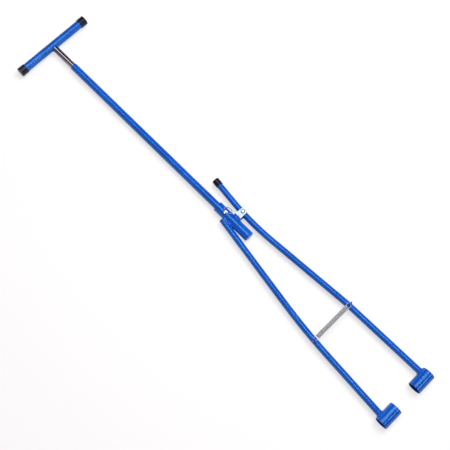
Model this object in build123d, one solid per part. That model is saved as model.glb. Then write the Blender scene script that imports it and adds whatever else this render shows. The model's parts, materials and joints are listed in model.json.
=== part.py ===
from build123d import *

import os
from math import atan2, cos, degrees, radians, sin, sqrt, tan

# Hand tow bar for the nosewheel of a light aircraft. Millimetres.
#
# The model is laid out along the bar: X runs from the crossbar's axis towards the fork's
# sockets, Y runs across towards the hinged arm, and Z = 0 is the plane of all tube axes.
# Every node is then moved so that the origin is the bottom centre of the whole object.

# ---- Fits and clearances
running_gap = 0.05      # radial, between a part that turns or slides and its bore
cap_gap = 0.05          # radial, between a push-on cap and its tube
seat_gap = 0.3          # between a loose part and what it rests on
receiver_gap = 0.25     # radial, between the main tube and the receiver

# ---- Crossbar and its caps
crossbar_length = 246.0
crossbar_diameter = 25.0
crossbar_wall = 1.5
handle_cap_depth = 20.0
handle_cap_wall = 1.5
handle_cap_end = 2.0
cap_edge = 1.5

# ---- Telescoping tubes
inner_tube_diameter = 18.0
inner_tube_wall = 1.5
inner_tube_length = 505.0
inner_tube_exposed = 81.5
main_tube_wall = 1.0
main_tube_length = 718.0
guide_bush_wall = 0.95
guide_bush_length = 30.0

# ---- Twist lock inside the main tube
lock_plug_length = 18.0
lock_flange_thickness = 2.0
lock_stud_diameter = 8.0
lock_cone_length = 14.0
lock_cone_diameter = 14.0
lock_cone_gap = 0.3
expander_length = 26.0
expander_slit = 1.5
lock_clip_diameter = 13.0
lock_clip_thickness = 1.2
lock_end_play = 0.3

# ---- Receiver
receiver_wall = 3.75
receiver_length = 120.0
receiver_cap_thickness = 5.0
receiver_cap_edge = 4.0
insertion_depth = 116.0

# ---- Lock pin and its ring
pin_from_mouth = 32.0
pin_diameter = 7.0
pin_hole_gap = 0.3
pin_below = 3.0
pin_above = 10.0
pin_collar_ledge = 1.25
pin_collar_thickness = 1.6
pin_edge = 1.2
detent_ball_diameter = 2.4
detent_proud = 0.15
detent_from_tip = 1.9
ring_mean_radius = 12.25
ring_wire = 2.0
ring_hole_diameter = 3.2
ring_hole_below_top = 3.6

# ---- Pivot bracket and bolt
pivot_from_mouth = 62.0
pivot_from_receiver = 21.5
bracket_width = 20.0
bracket_thickness = 2.5
bracket_bend = 3.0
bolt_diameter = 8.0
bolt_head_diameter = 12.5
bolt_head_height = 4.6
bolt_head_dome = 3.6
bolt_tip_proud = 0.6
nut_across_flats = 13.0
nut_height = 5.4
washer_diameter = 17.0
washer_thickness = 0.8
bush_diameter = 11.0
bush_end_play = 0.1
arm_side_gap = 0.2

# ---- Fork tubes
leg_diameter = 18.0
leg_wall = 1.5
leg_start_from_mouth = 38.0
leg_start_from_receiver = 3.4
leg_start_angle = 8.9
leg_bend_from_mouth = 408.5
leg_bend_radius = 1800.0
leg_end_angle = 3.6
leg_end_plate = 2.0
lever_length = 121.0
lever_angle = 6.28
arm_bend_from_pivot = 38.0
arm_bend_radius = 825.0
arm_angle = 4.08
arm_second_bend_from_pivot = 378.0
arm_second_bend_radius = 800.0
arm_end_angle = 0.94
lever_cap_depth = 19.0
lever_cap_end = 1.5
lever_cap_wall = 1.4

# ---- Sockets
socket_from_mouth = 711.0
socket_diameter = 38.0
socket_wall = 1.5
socket_length = 57.0
fixed_socket_overhang = 16.1
arm_socket_overhang = 13.8
socket_edge = 0.6

# ---- Spring and its lugs
spring_from_mouth = 444.0
spring_diameter = 13.0
spring_wire = 1.6
lug_width = 13.0
lug_thickness = 5.0
lug_height = 12.5
lug_hole_diameter = 4.2
lug_hole_height = 6.3
arm_lug_shift = 2.0
lug_base_height = 4.0

# ---- Welds
weld_size = 3.0
handle_weld_size = 3.5
leg_weld_reach = 6.5
leg_weld_rise = 4.0
bracket_weld_margin = 1.2
bracket_weld_reach = 2.4
bracket_weld_edge = 1.5

# ---- Sizes and places worked out from the sizes above
inner_bore = inner_tube_diameter - 2 * inner_tube_wall
main_bore = inner_tube_diameter + 2 * (running_gap + guide_bush_wall)
main_tube_diameter = main_bore + 2 * main_tube_wall
receiver_bore = main_tube_diameter + 2 * receiver_gap
receiver_radius = receiver_bore / 2 + receiver_wall
receiver_diameter = 2 * receiver_radius
leg_radius = leg_diameter / 2
socket_radius = socket_diameter / 2
leg_start_offset = receiver_radius + leg_start_from_receiver
pivot_offset = receiver_radius + pivot_from_receiver
bracket_back = receiver_radius + seat_gap
ear_inner_z = leg_radius + arm_side_gap + washer_thickness
bracket_height = 2 * (ear_inner_z + bracket_thickness)
pin_collar_diameter = pin_diameter + 2 * pin_collar_ledge

mouth_x = crossbar_diameter / 2 + inner_tube_exposed
main_end_x = mouth_x + main_tube_length
receiver_x = main_end_x - insertion_depth
receiver_end_x = receiver_x + receiver_length
inner_end_x = crossbar_diameter / 2 + inner_tube_length
pin_x = receiver_x + pin_from_mouth
pivot_x = receiver_x + pivot_from_mouth
socket_x = receiver_x + socket_from_mouth
spring_x = receiver_x + spring_from_mouth
lug_hole_z = leg_radius + lug_hole_height

handle_cap_diameter = crossbar_diameter + 2 * (cap_gap + handle_cap_wall)
near_x = -handle_cap_diameter / 2
far_x = socket_x + socket_radius
to_row = Location((-(near_x + far_x) / 2, 0, socket_radius))


def rod(diameter, start, end):
    """Solid round bar from one point to another."""
    axis = Vector(*end) - Vector(*start)
    plane = Plane(origin=start, z_dir=axis)
    return plane * Cylinder(diameter / 2, axis.length, align=(Align.CENTER, Align.CENTER, Align.MIN))


def tube(diameter, bore, start, end):
    """Straight tube from one point to another."""
    return rod(diameter, start, end) - rod(bore, start, end)


def bent_rod(diameter, points, radii):
    """Solid bar along straight runs joined by tangent arcs."""
    path = FilletPolyline(*points, radius=radii)
    section = Plane(origin=path @ 0, z_dir=path % 0) * Circle(diameter / 2)
    return sweep(section, path=path)


def rim(shape, axis, last=True):
    """Outermost round edge of a shape at one end of an axis."""
    face = shape.faces().sort_by(axis)[-1 if last else 0]
    return face.outer_wire().edges()


def push_on_cap(tube_diameter, wall, depth, end_wall, mouth, outward):
    """Push-on cap with a closed, rounded end. Its tube ends a cap depth from the mouth."""
    outer = tube_diameter + 2 * (cap_gap + wall)
    body = Cylinder(outer / 2, depth + end_wall, align=(Align.CENTER, Align.CENTER, Align.MIN))
    body = fillet(rim(body, Axis.Z), cap_edge)
    bore = Cylinder(tube_diameter / 2 + cap_gap, depth, align=(Align.CENTER, Align.CENTER, Align.MIN))
    return Plane(origin=mouth, z_dir=outward) * (body - bore)


def saddle_weld(branch, run, size, branch_diameter, run_diameter):
    """Weld collar where a branch tube meets the side of a run tube, between the run's ends."""
    past_ends = (Vector(*run[1]) - Vector(*run[0])).normalized() * run_diameter
    run_rod = rod(run_diameter, tuple(Vector(*run[0]) - past_ends), tuple(Vector(*run[1]) + past_ends))
    collar = rod(branch_diameter + 2 * size, *branch) & rod(run_diameter + 2 * size, *run)
    return collar - rod(branch_diameter, *branch) - run_rod


def save(name, shape):
    """Write one node, moved into the row's frame."""
    export_step(shape.moved(to_row), f"parts/{name}.step")


def point_at(x, origin, slope_degrees):
    """Point of a line in the tubes' plane at a given x."""
    return (x, origin[1] + (x - origin[0]) * tan(radians(slope_degrees)), 0)


# ---- Centrelines of the fork's tubes
leg_start = (receiver_x + leg_start_from_mouth, -leg_start_offset, 0)
leg_bend = point_at(receiver_x + leg_bend_from_mouth, leg_start, -leg_start_angle)
leg_end = point_at(socket_x - socket_radius, leg_bend, -leg_end_angle)

# The pivot lies on the arm's first bend, so the bend's corner is placed to bring
# the centreline through it.
bend_tangent = arm_bend_radius * tan(radians(lever_angle + arm_angle) / 2)
along_bend = max(0.0, bend_tangent - arm_bend_from_pivot / cos(radians(lever_angle)))
bend_rise = arm_bend_radius - sqrt(arm_bend_radius**2 - along_bend**2)
pivot = (pivot_x, pivot_offset, 0)
on_lever_line = (pivot_x, pivot_offset - bend_rise, 0)
arm_bend = point_at(pivot_x + arm_bend_from_pivot, on_lever_line, -lever_angle)
lever_end = point_at(pivot_x - lever_length * cos(radians(lever_angle)), on_lever_line, -lever_angle)
arm_second_bend = point_at(pivot_x + arm_second_bend_from_pivot, arm_bend, arm_angle)
arm_end = point_at(socket_x - socket_radius, arm_second_bend, arm_end_angle)

# Tubes run a little way into the sockets before they are cut to the sockets' curve.
cope = socket_radius / 2
leg_points = [leg_start, leg_bend, point_at(leg_end[0] + cope, leg_bend, -leg_end_angle)]
arm_points = [lever_end, arm_bend, arm_second_bend]
arm_points.append(point_at(arm_end[0] + cope, arm_second_bend, arm_end_angle))
arm_radii = [arm_bend_radius, arm_second_bend_radius]

fixed_outer_y = leg_end[1] - fixed_socket_overhang
fixed_inner_y = fixed_outer_y + socket_length
arm_outer_y = arm_end[1] + arm_socket_overhang
arm_inner_y = arm_outer_y - socket_length
fixed_socket_ends = ((socket_x, fixed_outer_y, 0), (socket_x, fixed_inner_y, 0))
arm_socket_ends = ((socket_x, arm_inner_y, 0), (socket_x, arm_outer_y, 0))

fixed_lug_y = point_at(spring_x, leg_bend, -leg_end_angle)[1]
arm_lug_y = point_at(spring_x, arm_second_bend, arm_end_angle)[1] + arm_lug_shift

pin_hole = pin_diameter + 2 * pin_hole_gap
pin_top = receiver_radius + pin_above
pin_tip = -(receiver_radius + pin_below)
receiver_axis = ((receiver_x, 0, 0), (receiver_end_x, 0, 0))
receiver_rod = rod(receiver_diameter, *receiver_axis)
pin_hole_rod = rod(pin_hole, (pin_x, 0, -receiver_diameter), (pin_x, 0, receiver_diameter))


def handle():
    """Crossbar, its two caps and the weld that joins it to the inner tube."""
    half = crossbar_length / 2
    bar_bore = crossbar_diameter - 2 * crossbar_wall
    save("handle_crossbar", tube(crossbar_diameter, bar_bore, (0, -half, 0), (0, half, 0)))
    for name, side in (("handle_cap_left", 1), ("handle_cap_right", -1)):
        mouth = (0, side * (half - handle_cap_depth), 0)
        cap = push_on_cap(
            crossbar_diameter, handle_cap_wall, handle_cap_depth, handle_cap_end, mouth, (0, side, 0)
        )
        save(name, cap)
    branch = ((0, 0, 0), (crossbar_diameter, 0, 0))
    run = ((0, -crossbar_diameter, 0), (0, crossbar_diameter, 0))
    weld = saddle_weld(branch, run, handle_weld_size, inner_tube_diameter, crossbar_diameter)
    save("handle_weld", weld)


def telescope():
    """Inner tube, main tube and the guide bush in the main tube's mouth."""
    half = crossbar_length / 2
    crossbar_rod = rod(crossbar_diameter, (0, -half, 0), (0, half, 0))
    inner = tube(inner_tube_diameter, inner_bore, (0, 0, 0), (inner_end_x, 0, 0)) - crossbar_rod
    save("inner_tube", inner)
    main = tube(main_tube_diameter, main_bore, (mouth_x, 0, 0), (main_end_x, 0, 0))
    save("main_tube", main - pin_hole_rod)
    bush_bore = inner_tube_diameter + 2 * running_gap
    bush = tube(main_bore, bush_bore, (mouth_x, 0, 0), (mouth_x + guide_bush_length, 0, 0))
    save("main_tube_guide_bush", bush)


def twist_lock():
    """Cone screw in the inner tube's end, the split expander around it and its clip."""
    flange_x = inner_end_x + lock_flange_thickness
    expander_x = flange_x + lock_end_play
    expander_end_x = expander_x + expander_length
    stud_end_x = expander_end_x + lock_end_play + lock_clip_thickness
    cone_end_x = flange_x + lock_cone_length

    screw = rod(inner_bore, (inner_end_x - lock_plug_length, 0, 0), (inner_end_x, 0, 0))
    screw += rod(inner_tube_diameter, (inner_end_x, 0, 0), (flange_x, 0, 0))
    screw += rod(lock_stud_diameter, (flange_x, 0, 0), (stud_end_x, 0, 0))
    centred = (Align.CENTER, Align.CENTER, Align.MIN)
    cone = Cone(lock_cone_diameter / 2, lock_stud_diameter / 2, lock_cone_length, align=centred)
    screw += Plane(origin=(flange_x, 0, 0), z_dir=(1, 0, 0)) * cone
    save("twist_lock_screw", screw)

    expander_diameter = main_bore - 2 * running_gap
    stud_bore = lock_stud_diameter + 2 * running_gap
    expander = tube(expander_diameter, stud_bore, (expander_x, 0, 0), (expander_end_x, 0, 0))
    hollow = Cone(
        lock_cone_diameter / 2 + lock_cone_gap,
        lock_stud_diameter / 2 + running_gap,
        lock_cone_length,
        align=centred,
    )
    expander -= Plane(origin=(flange_x, 0, 0), z_dir=(1, 0, 0)) * hollow
    slit = Box(
        cone_end_x - expander_x,
        expander_diameter,
        expander_slit,
        align=(Align.MIN, Align.CENTER, Align.CENTER),
    )
    save("twist_lock_expander", expander - Pos(expander_x, 0, 0) * slit)

    clip_x = stud_end_x - lock_clip_thickness
    clip = tube(lock_clip_diameter, lock_stud_diameter, (clip_x, 0, 0), (stud_end_x, 0, 0))
    save("twist_lock_clip", clip)


def receiver():
    """Receiver that the main tube plugs into, with its closed end."""
    sleeve = tube(receiver_diameter, receiver_bore, *receiver_axis)
    save("receiver_tube", sleeve - pin_hole_rod)
    end_x = receiver_end_x + receiver_cap_thickness
    end = rod(receiver_diameter, (receiver_end_x, 0, 0), (end_x, 0, 0))
    save("receiver_end_cap", fillet(rim(end, Axis.X), receiver_cap_edge))


def lock_pin():
    """Pull pin through receiver and main tube, its detent balls and its ring."""
    pin = rod(pin_diameter, (pin_x, 0, pin_tip), (pin_x, 0, pin_top))
    pin = fillet(rim(pin, Axis.Z), pin_edge)
    pin = fillet(rim(pin, Axis.Z, last=False), pin_edge)
    collar_z = receiver_radius + seat_gap / 2
    collar_top = collar_z + pin_collar_thickness
    pin += rod(pin_collar_diameter, (pin_x, 0, collar_z), (pin_x, 0, collar_top))
    ring_z = pin_top - ring_hole_below_top
    pin -= rod(ring_hole_diameter, (pin_x - pin_diameter, 0, ring_z), (pin_x + pin_diameter, 0, ring_z))

    ball_z = pin_tip + detent_from_tip + detent_ball_diameter / 2
    ball_y = pin_diameter / 2 + detent_proud - detent_ball_diameter / 2
    pocket = detent_ball_diameter + 2 * running_gap
    balls = []
    for side in (1, -1):
        pocket_start = (pin_x, side * (ball_y - pocket / 2), ball_z)
        pin -= rod(pocket, pocket_start, (pin_x, side * pin_diameter, ball_z))
        balls.append(Pos(pin_x, side * ball_y, ball_z) * Sphere(detent_ball_diameter / 2))
    save("lock_pin", pin)
    save("lock_pin_balls", Compound(children=balls))

    # The ring hangs from the hole and leans on the receiver's side.
    reach = receiver_radius + seat_gap + ring_wire / 2
    lean = degrees(atan2(sqrt(ring_z**2 - reach**2), reach))
    ring = Pos(0, ring_mean_radius, 0) * Torus(ring_mean_radius, ring_wire / 2)
    save("lock_pin_ring", Pos(pin_x, 0, ring_z) * Rot(-lean, 0, 0) * ring)


def fixed_leg():
    """Bent leg welded to the receiver's side, with its end plate and weld."""
    outer = bent_rod(leg_diameter, leg_points, [leg_bend_radius])
    inner = bent_rod(leg_diameter - 2 * leg_wall, leg_points, [leg_bend_radius])
    socket_rod = rod(socket_diameter, *fixed_socket_ends)
    save("fixed_leg", outer - inner - receiver_rod - socket_rod)

    heading = Vector(-cos(radians(leg_start_angle)), sin(radians(leg_start_angle)), 0)
    plate_end = Vector(*leg_start) + heading * leg_end_plate
    plate = rod(leg_diameter, leg_start, tuple(plate_end)) - receiver_rod
    save("fixed_leg_end_plate", plate)

    # The weld fills the valley where the two round surfaces meet, above and below,
    # and runs out where the leg's side leaves the receiver.
    touch_offset = receiver_radius + leg_radius
    touch_x = leg_start[0] + (touch_offset - leg_start_offset) / tan(radians(leg_start_angle))
    sections = []
    for x, offset in ((leg_start[0], leg_start_offset), (touch_x, touch_offset)):
        y = (offset**2 + receiver_radius**2 - leg_radius**2) / (2 * offset)
        z = sqrt(max(0.0, receiver_radius**2 - y**2))
        plane = Plane(origin=(x, -y, 0), x_dir=(0, 1, 0), z_dir=(1, 0, 0))
        sections.append(plane * Rectangle(2 * leg_weld_reach, 2 * (z + leg_weld_rise)))
    weld = loft(sections) - receiver_rod - outer - plate
    save("fixed_leg_weld", weld)


def arm():
    """Hinged arm: lever, long leg, pivot bush and lever cap."""
    outer = bent_rod(leg_diameter, arm_points, arm_radii)
    inner = bent_rod(leg_diameter - 2 * leg_wall, arm_points, arm_radii)
    bush_top = ear_inner_z - washer_thickness - bush_end_play
    bush_axis = ((pivot_x, pivot_offset, -bush_top), (pivot_x, pivot_offset, bush_top))
    body = outer - inner - rod(socket_diameter, *arm_socket_ends) - rod(bush_diameter, *bush_axis)
    save("arm_tube", body)
    save("arm_pivot_bush", tube(bush_diameter, bolt_diameter + 2 * running_gap, *bush_axis))

    outward = Vector(-cos(radians(lever_angle)), sin(radians(lever_angle)), 0)
    mouth = Vector(*lever_end) - outward * lever_cap_depth
    cap = push_on_cap(leg_diameter, lever_cap_wall, lever_cap_depth, lever_cap_end, tuple(mouth), outward)
    save("arm_lever_cap", cap)


def sockets():
    """Short cross tubes at the leg ends that go over the ends of the wheel's axle."""
    bore = socket_diameter - 2 * socket_wall
    for name, ends in (("fixed_socket", fixed_socket_ends), ("arm_socket", arm_socket_ends)):
        body = rod(socket_diameter, *ends)
        body = chamfer(rim(body, Axis.Y) + rim(body, Axis.Y, last=False), socket_edge)
        save(name, body - rod(bore, *ends))
    leg_run = (point_at(leg_end[0] - 2 * weld_size, leg_bend, -leg_end_angle), leg_points[-1])
    arm_run = (point_at(arm_end[0] - 2 * weld_size, arm_second_bend, arm_end_angle), arm_points[-1])
    for name, branch, low_y, high_y in (
        ("fixed_socket_weld", leg_run, fixed_outer_y, fixed_inner_y),
        ("arm_socket_weld", arm_run, arm_inner_y, arm_outer_y),
    ):
        run = ((socket_x, low_y + socket_edge, 0), (socket_x, high_y - socket_edge, 0))
        save(name, saddle_weld(branch, run, weld_size, leg_diameter, socket_diameter))


def pivot_bracket():
    """Plated U bracket on the receiver's side, its weld, bolt, nut and washers."""
    half = bracket_height / 2
    reach = pivot_offset - bracket_back
    centred = (Align.CENTER, Align.MIN, Align.CENTER)
    block = Pos(pivot_x, bracket_back, 0) * Box(bracket_width, reach, bracket_height, align=centred)
    back_edges = block.faces().sort_by(Axis.Y)[0].edges().filter_by(Axis.X)
    block = fillet(back_edges, bracket_bend)
    block += rod(bracket_width, (pivot_x, pivot_offset, -half), (pivot_x, pivot_offset, half))
    slot_y = bracket_back + bracket_thickness
    slot = Box(2 * bracket_width, 2 * bracket_width + reach, 2 * ear_inner_z, align=centred)
    bolt_hole = bolt_diameter + 2 * running_gap
    solid_block = block
    block -= Pos(pivot_x, slot_y, 0) * slot
    block -= rod(bolt_hole, (pivot_x, pivot_offset, -half), (pivot_x, pivot_offset, half))
    save("pivot_bracket", block)

    margin = bracket_weld_margin
    weld = Pos(pivot_x, 0, 0) * Box(
        bracket_width + 2 * margin,
        bracket_back + bracket_weld_reach,
        bracket_height + 2 * margin,
        align=centred,
    )
    weld = fillet(weld.faces().sort_by(Axis.Y)[-1].edges(), bracket_weld_edge)
    save("pivot_bracket_weld", weld - receiver_rod - solid_block)

    head = rod(
        bolt_head_diameter,
        (pivot_x, pivot_offset, half),
        (pivot_x, pivot_offset, half + bolt_head_height),
    )
    head = fillet(rim(head, Axis.Z), bolt_head_dome)
    tip_z = -(half + nut_height + bolt_tip_proud)
    shank = rod(bolt_diameter, (pivot_x, pivot_offset, tip_z), (pivot_x, pivot_offset, half))
    save("pivot_bolt", head + shank)

    nut = Pos(pivot_x, pivot_offset, -half - nut_height) * extrude(
        RegularPolygon(nut_across_flats / 2, 6, major_radius=False), nut_height
    )
    nut -= rod(bolt_hole, (pivot_x, pivot_offset, tip_z), (pivot_x, pivot_offset, 0))
    save("pivot_nut", nut)

    washers = []
    for low in (ear_inner_z - washer_thickness, -ear_inner_z):
        span = ((pivot_x, pivot_offset, low), (pivot_x, pivot_offset, low + washer_thickness))
        washers.append(tube(washer_diameter, bolt_hole, *span))
    save("pivot_washers", Compound(children=washers))


def spring():
    """Lugs on the two legs and the close-wound spring hooked between them."""
    top_z = leg_radius + lug_height
    straight = top_z - lug_width / 2
    paths = (
        ("fixed_spring_lug", fixed_lug_y, leg_points, [leg_bend_radius]),
        ("arm_spring_lug", arm_lug_y, arm_points, arm_radii),
    )
    for name, y, points, radii in paths:
        lug = Pos(spring_x, y, lug_base_height) * Box(
            lug_thickness,
            lug_width,
            straight - lug_base_height,
            align=(Align.CENTER, Align.CENTER, Align.MIN),
        )
        half = lug_thickness / 2
        lug += rod(lug_width, (spring_x - half, y, straight), (spring_x + half, y, straight))
        lug -= rod(
            lug_hole_diameter,
            (spring_x - lug_thickness, y, lug_hole_z),
            (spring_x + lug_thickness, y, lug_hole_z),
        )
        save(name, lug - bent_rod(leg_diameter, points, radii))

    # Each end loop crosses the coil's axis and passes through its lug's hole.
    mean_radius = (spring_diameter - spring_wire) / 2
    start_y = fixed_lug_y + 2 * mean_radius
    end_y = arm_lug_y - 2 * mean_radius
    coil_bore = spring_diameter - 2 * spring_wire
    coil = tube(spring_diameter, coil_bore, (spring_x, start_y, lug_hole_z), (spring_x, end_y, lug_hole_z))
    for y, inward, hook_y in ((start_y, 1, fixed_lug_y), (end_y, -1, arm_lug_y)):
        coil += rod(coil_bore, (spring_x, y, lug_hole_z), (spring_x, y + inward * spring_wire, lug_hole_z))
        loop = Torus(mean_radius, spring_wire / 2)
        coil += Pos(spring_x, hook_y + inward * mean_radius, lug_hole_z) * loop
    save("return_spring", coil)


os.makedirs("parts", exist_ok=True)
handle()
telescope()
twist_lock()
receiver()
lock_pin()
fixed_leg()
arm()
sockets()
pivot_bracket()
spring()
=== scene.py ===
"""Looks of a hand tow bar for light aircraft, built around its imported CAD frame. Metres."""
import json
import math
import random

import bmesh
import bpy
from mathutils import Matrix, Vector, noise

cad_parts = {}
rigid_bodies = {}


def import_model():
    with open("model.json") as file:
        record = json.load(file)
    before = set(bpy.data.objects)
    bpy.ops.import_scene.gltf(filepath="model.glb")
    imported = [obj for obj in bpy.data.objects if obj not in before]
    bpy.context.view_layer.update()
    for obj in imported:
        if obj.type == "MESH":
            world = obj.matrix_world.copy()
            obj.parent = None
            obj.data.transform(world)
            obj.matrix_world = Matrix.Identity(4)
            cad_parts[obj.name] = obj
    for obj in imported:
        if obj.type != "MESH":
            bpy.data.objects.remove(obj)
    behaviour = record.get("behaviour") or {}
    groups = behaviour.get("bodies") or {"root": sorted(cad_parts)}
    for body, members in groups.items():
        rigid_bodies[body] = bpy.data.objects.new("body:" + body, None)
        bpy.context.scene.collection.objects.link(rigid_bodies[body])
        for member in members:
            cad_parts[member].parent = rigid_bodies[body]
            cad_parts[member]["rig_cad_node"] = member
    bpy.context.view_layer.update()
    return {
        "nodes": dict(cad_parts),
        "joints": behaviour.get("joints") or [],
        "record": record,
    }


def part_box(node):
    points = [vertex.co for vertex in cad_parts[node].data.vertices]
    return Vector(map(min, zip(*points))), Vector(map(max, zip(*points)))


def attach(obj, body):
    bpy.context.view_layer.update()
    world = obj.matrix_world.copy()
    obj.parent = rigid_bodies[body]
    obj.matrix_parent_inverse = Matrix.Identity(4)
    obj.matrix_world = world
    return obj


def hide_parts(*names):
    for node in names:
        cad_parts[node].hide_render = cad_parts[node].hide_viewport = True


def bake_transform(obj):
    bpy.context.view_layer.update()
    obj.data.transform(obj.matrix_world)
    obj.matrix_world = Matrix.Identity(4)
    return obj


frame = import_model()
nodes = frame["nodes"]
scene = bpy.context.scene
MM = 0.001


# ---------------------------------------------------------------- material helpers

def linear(red, green, blue):
    """Linear colour with alpha, from sRGB values of 0 to 255."""
    colour = []
    for value in (red, green, blue):
        share = value / 255
        colour.append(share / 12.92 if share <= 0.04 else ((share + 0.055) / 1.055) ** 2.4)
    return (*colour, 1)


class Nodes:
    """Short ways to build a node tree."""

    def __init__(self, tree):
        self.tree = tree

    def add(self, kind, **settings):
        node = self.tree.nodes.new(kind)
        for key, value in settings.items():
            setattr(node, key, value)
        return node

    def link(self, start, end):
        self.tree.links.new(start, end)

    def joined(self, operation, first, second):
        """Two numbers put together by a Math node."""
        node = self.add("ShaderNodeMath", operation=operation)
        self.link(first, node.inputs[0])
        self.link(second, node.inputs[1])
        return node.outputs["Value"]

    def ramp(self, factor, low, high, low_at=0.3, high_at=0.7):
        ramp = self.add("ShaderNodeValToRGB")
        ends = ramp.color_ramp.elements
        ends[0].position, ends[1].position = low_at, high_at
        ends[0].color, ends[1].color = low, high
        self.link(factor, ramp.inputs["Fac"])
        return ramp.outputs["Color"]

    def between(self, factor, low, high, low_at=0.3, high_at=0.7, curve="LINEAR"):
        """A number that runs from low to high with the factor."""
        spread = self.add("ShaderNodeMapRange", interpolation_type=curve)
        spread.inputs["From Min"].default_value = low_at
        spread.inputs["From Max"].default_value = high_at
        spread.inputs["To Min"].default_value = low
        spread.inputs["To Max"].default_value = high
        self.link(factor, spread.inputs["Value"])
        return spread.outputs["Result"]


class Shader(Nodes):
    """A Principled material with object-space noise to vary its colour, roughness and relief."""

    def __init__(self, name):
        self.material = bpy.data.materials.new(name)
        self.material.use_nodes = True
        super().__init__(self.material.node_tree)
        self.shader = self.tree.nodes["Principled BSDF"]
        self.place = self.add("ShaderNodeTexCoord").outputs["Object"]

    def set(self, **values):
        for key, value in values.items():
            self.shader.inputs[key.replace("_", " ")].default_value = value

    def stretched(self, stretch):
        mapping = self.add("ShaderNodeMapping")
        mapping.inputs["Scale"].default_value = stretch
        self.link(self.place, mapping.inputs["Vector"])
        return mapping.outputs["Vector"]

    def noise(self, size, detail=3.0, stretch=(1, 1, 1)):
        """Noise whose blotches are about size metres across."""
        texture = self.add("ShaderNodeTexNoise")
        texture.inputs["Scale"].default_value = 1 / size
        texture.inputs["Detail"].default_value = detail
        self.link(self.stretched(stretch), texture.inputs["Vector"])
        return texture.outputs["Fac"]

    def cells(self, size):
        """Crystal-like cells, as on zinc plate, about size metres across."""
        texture = self.add("ShaderNodeTexVoronoi")
        texture.inputs["Scale"].default_value = 1 / size
        self.link(self.place, texture.inputs["Vector"])
        return texture.outputs["Color"]

    def colour(self, output):
        self.link(output, self.shader.inputs["Base Color"])

    def roughness(self, output):
        self.link(output, self.shader.inputs["Roughness"])

    def relief(self, height, depth):
        """Adds bump of about depth metres on top of any bump already there."""
        bump = self.add("ShaderNodeBump")
        bump.inputs["Distance"].default_value = depth
        self.link(height, bump.inputs["Height"])
        earlier = self.shader.inputs["Normal"].links
        if earlier:
            self.link(earlier[0].from_socket, bump.inputs["Normal"])
        self.link(bump.outputs["Normal"], self.shader.inputs["Normal"])


# ---------------------------------------------------------------- materials

def blue_paint():
    """Gloss enamel on steel: faint orange peel, and slightly uneven colour and gloss."""
    paint = Shader("blue_paint")
    paint.colour(paint.ramp(paint.noise(0.05, 4), linear(0, 75, 186), linear(4, 91, 206)))
    paint.roughness(paint.between(paint.noise(0.02, 4), 0.16, 0.22, 0.35, 0.75))
    paint.relief(paint.noise(0.0018, 2), 0.000002)
    paint.relief(paint.noise(0.016, 2), 0.000012)
    paint.set(IOR=1.65, Specular_Tint=(0.45, 0.95, 1, 1))
    return paint.material


def black_vinyl():
    """Moulded vinyl cap: fine grain and a soft sheen."""
    vinyl = Shader("black_vinyl")
    vinyl.colour(vinyl.ramp(vinyl.noise(0.014, 5), linear(6, 7, 16), linear(20, 20, 32)))
    vinyl.roughness(vinyl.between(vinyl.noise(0.004, 4), 0.22, 0.34))
    vinyl.relief(vinyl.noise(0.0007, 2), 0.00002)
    vinyl.relief(vinyl.noise(0.006, 2), 0.00008)
    vinyl.set(Specular_Tint=(0.6, 0.68, 1, 1))
    return vinyl.material


def chrome():
    """Hard chrome plate, with hairlines along the tube where it slides."""
    plate = Shader("chrome_plate")
    hairs = plate.noise(0.0012, 3, stretch=(0.02, 1, 1))
    plate.colour(plate.ramp(hairs, linear(142, 136, 142), linear(168, 162, 166)))
    plate.roughness(plate.between(hairs, 0.05, 0.16))
    plate.set(Metallic=1.0, Specular_Tint=linear(120, 112, 140))
    return plate.material


def zinc():
    """Bright zinc plate: a cool tint and faint crystal cells."""
    plate = Shader("zinc_plate")
    cells = plate.cells(0.0016)
    plate.colour(plate.ramp(cells, linear(168, 186, 202), linear(198, 212, 224), 0.2, 0.8))
    plate.roughness(plate.between(plate.noise(0.003, 4), 0.3, 0.45))
    plate.relief(plate.noise(0.0009, 3), 0.00003)
    plate.set(Metallic=0.85)
    return plate.material


def bright_steel():
    """Polished bare steel with fine random scratches."""
    metal = Shader("bright_steel")
    metal.colour(metal.ramp(metal.noise(0.004, 4), linear(176, 176, 178), linear(226, 225, 222)))
    metal.roughness(metal.between(metal.noise(0.0014, 5), 0.12, 0.24))
    metal.relief(metal.noise(0.0006, 3), 0.00001)
    metal.set(Metallic=1.0)
    return metal.material


def spring_plate():
    """Dull bright plate on spring wire."""
    plate = Shader("spring_steel")
    plate.colour(plate.ramp(plate.noise(0.003, 4), linear(196, 200, 202), linear(222, 225, 223)))
    plate.roughness(plate.between(plate.noise(0.0012, 4), 0.32, 0.44))
    plate.set(Metallic=0.7)
    return plate.material


def nylon():
    """Natural nylon, slightly see-through."""
    plastic = Shader("nylon")
    plastic.colour(plastic.ramp(plastic.noise(0.01, 3), linear(222, 218, 202), linear(236, 233, 222)))
    plastic.roughness(plastic.between(plastic.noise(0.002, 3), 0.4, 0.55))
    plastic.set(Subsurface_Weight=0.2, Subsurface_Scale=0.001)
    return plastic.material


materials = {
    "blue_paint": blue_paint(),
    "black_rubber": black_vinyl(),
    "chrome_tube": chrome(),
    "zinc": zinc(),
    "bright_steel": bright_steel(),
    "spring_steel": spring_plate(),
    "nylon": nylon(),
}


def finish_with(piece, slot):
    """Gives a piece the material of one of the record's slots."""
    piece.data.materials.clear()
    piece.data.materials.append(materials[slot])


# ---------------------------------------------------------------- mesh helpers

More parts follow.
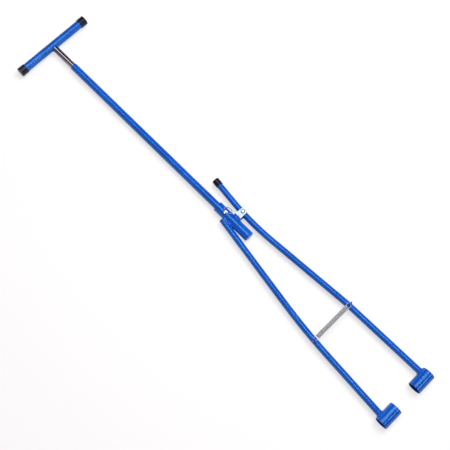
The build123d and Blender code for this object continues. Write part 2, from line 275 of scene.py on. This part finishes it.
def wire(name, points, radius, closed=False, radii=None, sides=4):
    """Round wire through the points, as a closed mesh. radii scales its radius point by point."""
    curve = bpy.data.curves.new(name, "CURVE")
    curve.dimensions = "3D"
    curve.bevel_depth = radius
    curve.bevel_resolution = sides
    curve.use_fill_caps = not closed
    spline = curve.splines.new("POLY")
    spline.points.add(len(points) - 1)
    for i, point in enumerate(points):
        spline.points[i].co = (*point, 1)
        spline.points[i].radius = radii[i] if radii else 1
    spline.use_cyclic_u = closed
    holder = bpy.data.objects.new(name, curve)
    scene.collection.objects.link(holder)
    mesh = bpy.data.meshes.new_from_object(holder.evaluated_get(bpy.context.evaluated_depsgraph_get()))
    bpy.data.objects.remove(holder)
    bpy.data.curves.remove(curve)
    return new_piece(name, mesh)


def new_piece(name, mesh):
    piece = bpy.data.objects.new(name, mesh)
    scene.collection.objects.link(piece)
    for face in mesh.polygons:
        face.use_smooth = True
    return piece


def joined(name, pieces):
    """One mesh from several pieces, which are then removed."""
    whole = bmesh.new()
    for piece in pieces:
        whole.from_mesh(piece.data)
        bpy.data.objects.remove(piece)
    mesh = bpy.data.meshes.new(name)
    whole.to_mesh(mesh)
    whole.free()
    return new_piece(name, mesh)


def remeshed(piece, voxel):
    """The piece as one closed skin of small faces."""
    modifier = piece.modifiers.new("skin", "REMESH")
    modifier.mode = "VOXEL"
    modifier.voxel_size = voxel
    mesh = bpy.data.meshes.new_from_object(piece.evaluated_get(bpy.context.evaluated_depsgraph_get()))
    name = piece.name
    bpy.data.objects.remove(piece)
    return new_piece(name, mesh)


def softened(piece, rounds):
    """Melts the surface's creases a little more with each round."""
    skin = bmesh.new()
    skin.from_mesh(piece.data)
    for _ in range(rounds):
        bmesh.ops.smooth_vert(
            skin, verts=skin.verts, factor=0.5, use_axis_x=True, use_axis_y=True, use_axis_z=True
        )
    skin.to_mesh(piece.data)
    skin.free()


def lumpy(piece, size, depth):
    """Pushes the surface in and out by up to depth, in lumps of about size."""
    normals = [vertex.normal.copy() for vertex in piece.data.vertices]
    for vertex, normal in zip(piece.data.vertices, normals):
        vertex.co += normal * depth * noise.noise(vertex.co / size)


# ---------------------------------------------------------------- places from the frame

def centre(node):
    low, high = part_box(node)
    return (low + high) / 2


def radius_of(node, axis="z"):
    low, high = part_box(node)
    return getattr(high - low, axis) / 2


def joint(name):
    return next(j for j in frame["joints"] if j["name"] == name)


axis_z = Vector(joint("fork_pivot")["pos_m"]).z


# ---------------------------------------------------------------- spring

def spring():
    """Close-wound extension spring with a loop at each end, hooked through the lugs."""
    low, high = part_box("return_spring")
    middle = (low + high) / 2
    wire_radius = 0.8 * MM
    pitch = 2.04 * wire_radius
    radius = (high.x - low.x) / 2 - wire_radius
    hook_low, hook_high = low.y + wire_radius, high.y - wire_radius
    coil_low, coil_high = hook_low + 2 * radius, hook_high - 2 * radius
    bend = 1.8 * MM
    bend_steps = 6
    loop_turn = math.radians(-235)
    loop_steps = 33
    per_turn = 22
    turns = round((coil_high - coil_low) / pitch)

    def hook(coil_y, way):
        """From the coil's end outwards: a tight bend, then about two thirds of a loop."""
        points = []
        for step in range(1, bend_steps + 1):
            t = math.radians(90 * step / bend_steps)
            height = -way * bend * (1 - math.sin(t))
            points.append(Vector((radius, coil_y + way * bend * (1 - math.cos(t)), height)))
        loop_y = coil_y + way * radius
        for step in range(loop_steps + 1):
            t = loop_turn * step / loop_steps
            points.append(Vector((radius * math.cos(t), loop_y - way * radius * math.sin(t), 0)))
        return points

    path = list(reversed(hook(coil_low, -1)))
    for step in range(turns * per_turn + 1):
        t = 2 * math.pi * step / per_turn
        y = coil_low + (coil_high - coil_low) * step / (turns * per_turn)
        path.append(Vector((radius * math.cos(t), y, radius * math.sin(t))))
    path += hook(coil_high, 1)
    points = [Vector((middle.x + p.x, p.y, middle.z + p.z)) for p in path]
    piece = wire("return_spring_wire", points, wire_radius, sides=3)
    finish_with(piece, "spring_steel")
    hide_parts("return_spring")
    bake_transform(piece)


# ---------------------------------------------------------------- lock pin ring

def pin_ring():
    """Wire ring through the lock pin, bent round until its ends nearly meet."""
    hinge = Vector(joint("ring_swing")["pos_m"])
    low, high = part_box("lock_pin_ring")
    wire_radius = 1.0 * MM
    radius = (high.x - low.x) / 2 - wire_radius
    lowest = low.z + wire_radius
    lean = math.asin((hinge.z - lowest) / (2 * radius))
    out = Vector((0, math.cos(lean), -math.sin(lean)))
    hub = hinge + out * radius
    gap = math.radians(2.5)
    gap_at = math.radians(62)
    sideways = Vector((1, 0, 0))
    steps = 120
    points = []
    for step in range(steps + 1):
        t = gap_at + gap / 2 + (2 * math.pi - gap) * step / steps
        points.append(hub + sideways * radius * math.cos(t) + out * radius * math.sin(t))
    piece = wire("lock_pin_wire_ring", points, wire_radius, sides=5)
    finish_with(piece, "bright_steel")
    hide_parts("lock_pin_ring")
    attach(piece, "ring")


# ---------------------------------------------------------------- welds

def scalloped(count, beads, seed):
    """Radius factors that swell and pinch once a bead, as hand-laid weld does."""
    draw = random.Random(seed)
    swell = [draw.uniform(0.92, 1.08) for _ in range(beads + 1)]
    factors = []
    for i in range(count):
        place = beads * i / (count - 1)
        bead = min(int(place), beads - 1)
        factors.append(swell[bead] * (0.9 + 0.13 * math.sqrt(abs(math.sin(math.pi * place)))))
    return factors


def meeting_line(start, heading, branch_radius, run_centre, run_radius, count):
    """Closed line where a round branch, pointing along heading, meets a round run along Y."""
    across = Vector((-heading.y, heading.x, 0))
    line = []
    for i in range(count):
        t = 2 * math.pi * i / count
        edge = start + branch_radius * (across * math.cos(t) + Vector((0, 0, math.sin(t))))
        offset = edge - run_centre
        a = heading.x**2 + heading.z**2
        b = 2 * (offset.x * heading.x + offset.z * heading.z)
        c = offset.x**2 + offset.z**2 - run_radius**2
        reach = (-b - math.sqrt(max(0.0, b * b - 4 * a * c))) / (2 * a)
        line.append(edge + heading * reach)
    return line


def ring_weld(node, body, branch, run, heading, seed):
    """Rippled bead all round the branch tube's end on the run tube, in place of the plain CAD collar."""
    bead_radius = 2.4 * MM
    ripple = 2.6 * MM
    count = 260
    clear_of_run = 0.05
    collar = centre(node)
    start = Vector((collar.x, collar.y, axis_z)) - heading * clear_of_run
    line = meeting_line(start, heading, radius_of(branch), centre(run), radius_of(run), count)
    ripples = round(sum((line[i] - line[i - 1]).length for i in range(count)) / ripple)
    piece = wire(node + "_bead", line, bead_radius, closed=True, radii=scalloped(count, ripples, seed))
    finish_with(piece, "blue_paint")
    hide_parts(node)
    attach(piece, body)


def end_welds():
    """Beads where each leg meets its socket, and where the inner tube meets the crossbar."""
    leg_lean = math.radians(-3.6)
    arm_lean = math.radians(0.94)
    leg_heading = Vector((math.cos(leg_lean), math.sin(leg_lean), 0))
    arm_heading = Vector((math.cos(arm_lean), math.sin(arm_lean), 0))
    handle_heading = Vector((-1, 0, 0))
    ring_weld("fixed_socket_weld", "frame", "fixed_leg", "fixed_socket", leg_heading, seed=3)
    ring_weld("arm_socket_weld", "arm", "arm_tube", "arm_socket", arm_heading, seed=4)
    ring_weld("handle_weld", "handle", "inner_tube", "handle_crossbar", handle_heading, seed=5)


def lumpy_weld(node, body, beads, seed):
    """Heavy hand-laid weld: the CAD fillet with rippled beads over it, in one lumpy skin."""
    filler = new_piece(node + "_filler", nodes[node].data.copy())
    ripple = 2.8 * MM
    voxel = 0.45 * MM
    soften_rounds = 5
    lump, lump_depth = 3.6 * MM, 0.6 * MM
    grain, grain_depth = 1.4 * MM, 0.14 * MM
    strings = []
    for i, (line, size) in enumerate(beads):
        length = sum((b - a).length for a, b in zip(line, line[1:]))
        swells = scalloped(len(line), max(3, round(length / ripple)), seed + i)
        strings.append(wire(f"{node}_bead_{i}", line, size, radii=swells))
    piece = joined(node + "_lumps", [filler, *strings])
    piece = remeshed(piece, voxel)
    softened(piece, soften_rounds)
    lumpy(piece, lump, lump_depth)
    lumpy(piece, grain, grain_depth)
    finish_with(piece, "blue_paint")
    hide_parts(node)
    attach(piece, body)


def along(points, step=0.4 * MM):
    """The same line with points about a step apart."""
    line = [points[0]]
    for start, end in zip(points, points[1:]):
        parts = max(1, round((end - start).length / step))
        line += [start.lerp(end, (i + 1) / parts) for i in range(parts)]
    return line


def leg_weld():
    """Beads in the valley between receiver and fixed leg, above and below."""
    low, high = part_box("fixed_leg_weld")
    receiver_radius = radius_of("receiver_tube")
    leg_radius = radius_of("fixed_leg")
    start_offset = receiver_radius + 3.4 * MM
    end_offset = receiver_radius + leg_radius
    inset = 0.02
    points = 8
    bead_radius = 2.6 * MM
    shifts_and_lifts = ((-3.4 * MM, -0.6 * MM), (0.2 * MM, 0.4 * MM), (3.6 * MM, 0.8 * MM))
    beads = []
    for side in (1, -1):
        for shift, lift in shifts_and_lifts:
            line = []
            for i in range(points + 1):
                share = i / points
                offset = start_offset + (end_offset - start_offset) * share
                y = (offset**2 + receiver_radius**2 - leg_radius**2) / (2 * offset)
                z = math.sqrt(max(0.0, receiver_radius**2 - y**2)) + lift
                x = low.x + (high.x - low.x) * (inset + (1 - inset) * share)
                line.append(Vector((x, -y + shift, axis_z + side * z)))
            beads.append((along(line), bead_radius))
    lumpy_weld("fixed_leg_weld", "frame", beads, seed=20)


def bracket_weld():
    """Beads round the root of the pivot bracket."""
    low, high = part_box("pivot_bracket_weld")
    inset = 1.3 * MM
    edge_inset = 1.2 * MM
    near_y, far_y = high.y - 1.9 * MM, low.y + 2.4 * MM
    face_y = high.y - 1.8 * MM
    long_bead_radius = 2.4 * MM
    short_bead_radius = 1.9 * MM
    beads = []
    for side in (1, -1):
        z = axis_z + side * ((high.z - low.z) / 2 - edge_inset)
        for y in (near_y, far_y):
            line = [Vector((low.x + inset, y, z)), Vector((high.x - inset, y, z))]
            beads.append((along(line), long_bead_radius))
    for x in (low.x + inset, high.x - inset):
        line = [Vector((x, face_y, low.z + inset)), Vector((x, face_y, high.z - inset))]
        beads.append((along(line), short_bead_radius))
    lumpy_weld("pivot_bracket_weld", "frame", beads, seed=40)


# ---------------------------------------------------------------- stage, camera and light

def floor():
    """White floor with a faint shadow. Camera, glossy and transmission rays see it lifted to white."""
    extent = 30
    corners = [(-extent, -extent, 0), (extent, -extent, 0), (extent, extent, 0), (-extent, extent, 0)]
    mesh = bpy.data.meshes.new("floor")
    mesh.from_pydata(corners, [], [(0, 1, 2, 3)])
    piece = bpy.data.objects.new("floor", mesh)
    scene.collection.objects.link(piece)
    cloth = Shader("floor")
    cloth.set(Base_Color=(0.42, 0.41, 0.415, 1), Roughness=0.9, Specular_IOR_Level=0.0)
    rays = cloth.add("ShaderNodeLightPath").outputs
    seen = cloth.joined("MAXIMUM", rays["Is Camera Ray"], rays["Is Glossy Ray"])
    seen = cloth.joined("MAXIMUM", seen, rays["Is Transmission Ray"])
    distance = cloth.add("ShaderNodeVectorMath", operation="LENGTH")
    cloth.link(cloth.place, distance.inputs[0])
    lift_near, lift_far = 0.63, 0.88
    level = cloth.between(distance.outputs["Value"], lift_near, lift_far, low_at=1.0, high_at=4.0)
    lift = cloth.add("ShaderNodeEmission")
    cloth.link(cloth.joined("MULTIPLY", seen, level), lift.inputs["Strength"])
    total = cloth.add("ShaderNodeAddShader")
    cloth.link(cloth.shader.outputs["BSDF"], total.inputs[0])
    cloth.link(lift.outputs["Emission"], total.inputs[1])
    cloth.link(total.outputs["Shader"], cloth.tree.nodes["Material Output"].inputs["Surface"])
    mesh.materials.append(cloth.material)


def camera():
    """The photograph's viewpoint: high over the fork, a little back from straight down."""
    place = Vector((0.5095, -0.4805, 2.149))
    tilt = math.radians(17.05)
    turn = math.radians(45.59)
    data = bpy.data.cameras.new("camera")
    data.lens = 64.9
    data.sensor_width = 36
    data.clip_start = 0.05
    right = Vector((math.cos(turn), math.sin(turn), 0))
    forward = Vector((-math.sin(turn), math.cos(turn), 0))
    ahead = forward * math.sin(tilt) - Vector((0, 0, math.cos(tilt)))
    up = right.cross(ahead)
    holder = bpy.data.objects.new("camera", data)
    holder.matrix_world = Matrix.Translation(place) @ Matrix((right, up, -ahead)).transposed().to_4x4()
    scene.collection.objects.link(holder)
    scene.camera = holder


def lamp(name, place, size, radiance, target=None, mirrored=True):
    """Area lamp of a given brightness. It faces target, or straight down."""
    data = bpy.data.lights.new(name, "AREA")
    data.shape = "RECTANGLE"
    data.size, data.size_y = size
    data.energy = radiance * math.pi * size[0] * size[1]
    holder = bpy.data.objects.new(name, data)
    holder.location = place
    if target:
        holder.rotation_euler = (Vector(target) - Vector(place)).to_track_quat("-Z", "Y").to_euler()
    holder.visible_glossy = mirrored
    scene.collection.objects.link(holder)


def light():
    """Soft key from the lever's side, and strip lamps that draw thin lines of light on the tubes."""
    height = 2.6
    lamp("key", (0.2, 1.2, 2.4), (1.6, 1.2), 7.0, target=(0.2, 0, 0), mirrored=False)
    lamp("strip_along", (-0.75, 0.02, height), (3.4, 0.7), 3)
    lamp("strip_handle", (-0.46, 0.6, height), (0.5, 0.75), 4.5)
    lamp("strip_sockets", (0.47, 0.55, height), (0.5, 0.65), 5)
    lamp("strip_end", (2.2, 0.5, 1.7), (0.4, 0.6), 5, target=(0.7, 0, 0))


def surroundings():
    """A pale cove round the horizon, and above it a dim room, warmer on one side."""
    world = bpy.data.worlds.new("world")
    scene.world = world
    world.use_nodes = True
    room = Nodes(world.node_tree)
    parts = room.add("ShaderNodeSeparateXYZ")
    room.link(room.add("ShaderNodeTexCoord").outputs["Generated"], parts.inputs["Vector"])
    across = room.between(parts.outputs["Y"], 0, 1, low_at=-1, high_at=1)
    dim = room.ramp(across, (0.2, 0.165, 0.145, 1), (0.06, 0.055, 0.08, 1), 0.2, 0.75)
    cove = room.add("ShaderNodeMix", data_type="RGBA")
    cove.inputs["A"].default_value = (0.95, 0.95, 0.97, 1)
    rise = room.between(parts.outputs["Z"], 0, 1, low_at=0.12, high_at=0.3, curve="SMOOTHSTEP")
    room.link(rise, cove.inputs["Factor"])
    room.link(dim, cove.inputs["B"])
    room.link(cove.outputs["Result"], room.tree.nodes["Background"].inputs["Color"])


# ---------------------------------------------------------------- build

slots = {s["node"]: s["material_slot"] for s in frame["record"]["subparts"]}
for node, piece in nodes.items():
    finish_with(piece, slots[node])

spring()
pin_ring()
end_welds()
leg_weld()
bracket_weld()
floor()
camera()
light()
surroundings()

scene.view_settings.view_transform = "Standard"
